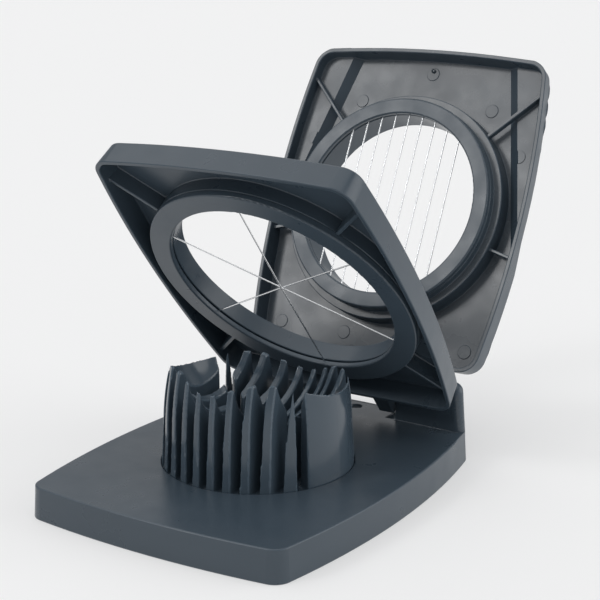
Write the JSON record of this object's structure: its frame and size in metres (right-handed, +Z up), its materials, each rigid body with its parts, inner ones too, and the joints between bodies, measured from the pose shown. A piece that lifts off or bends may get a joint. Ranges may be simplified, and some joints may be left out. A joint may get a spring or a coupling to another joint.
{
  "type": "egg slicer",
  "caption": "Hinged egg slicer: slotted egg cradle on a base, a lower wire frame that cuts wedges and an upper one that cuts slices.",
  "frame": {"origin": "on the axis of the egg cradle, on the table plane under the base", "axes": "+X along the hinge line to the user's right, +Y from the front edge towards the hinge, +Z up"},
  "size_m": [0.1074, 0.1874, 0.1374],
  "materials": {
    "slate_plastic": "satin moulded ABS",
    "steel": "bright drawn stainless wire"
  },
  "bodies": {
    "base": {"base_tray": "slate_plastic", "egg_cradle": "slate_plastic", "hinge_rod": "steel"},
    "wedger": {"wedger_frame": "slate_plastic", "wedger_ring": "slate_plastic", "wedge_wire_1": "steel", "wedge_wire_2": "steel", "wedge_wire_3": "steel"},
    "slicer": {"slicer_frame": "slate_plastic", "slicer_ring": "slate_plastic", "slicing_wire_1": "steel", "slicing_wire_2": "steel", "slicing_wire_3": "steel", "slicing_wire_4": "steel", "slicing_wire_5": "steel", "slicing_wire_6": "steel", "slicing_wire_7": "steel", "slicing_wire_8": "steel", "slicing_wire_9": "steel"}
  },
  "joints": [
    {"name": "wedger_hinge", "type": "hinge", "parent": "base", "child": "wedger", "pos_m": [0, 0.0636, 0.0239], "axis": [-1, 0, 0], "range_deg": [-50.4, 45]},
    {"name": "slicer_hinge", "type": "hinge", "parent": "wedger", "child": "slicer", "pos_m": [0, 0.0636, 0.0239], "axis": [-1, 0, 0], "range_deg": [-66.1, 0]}
  ]
}
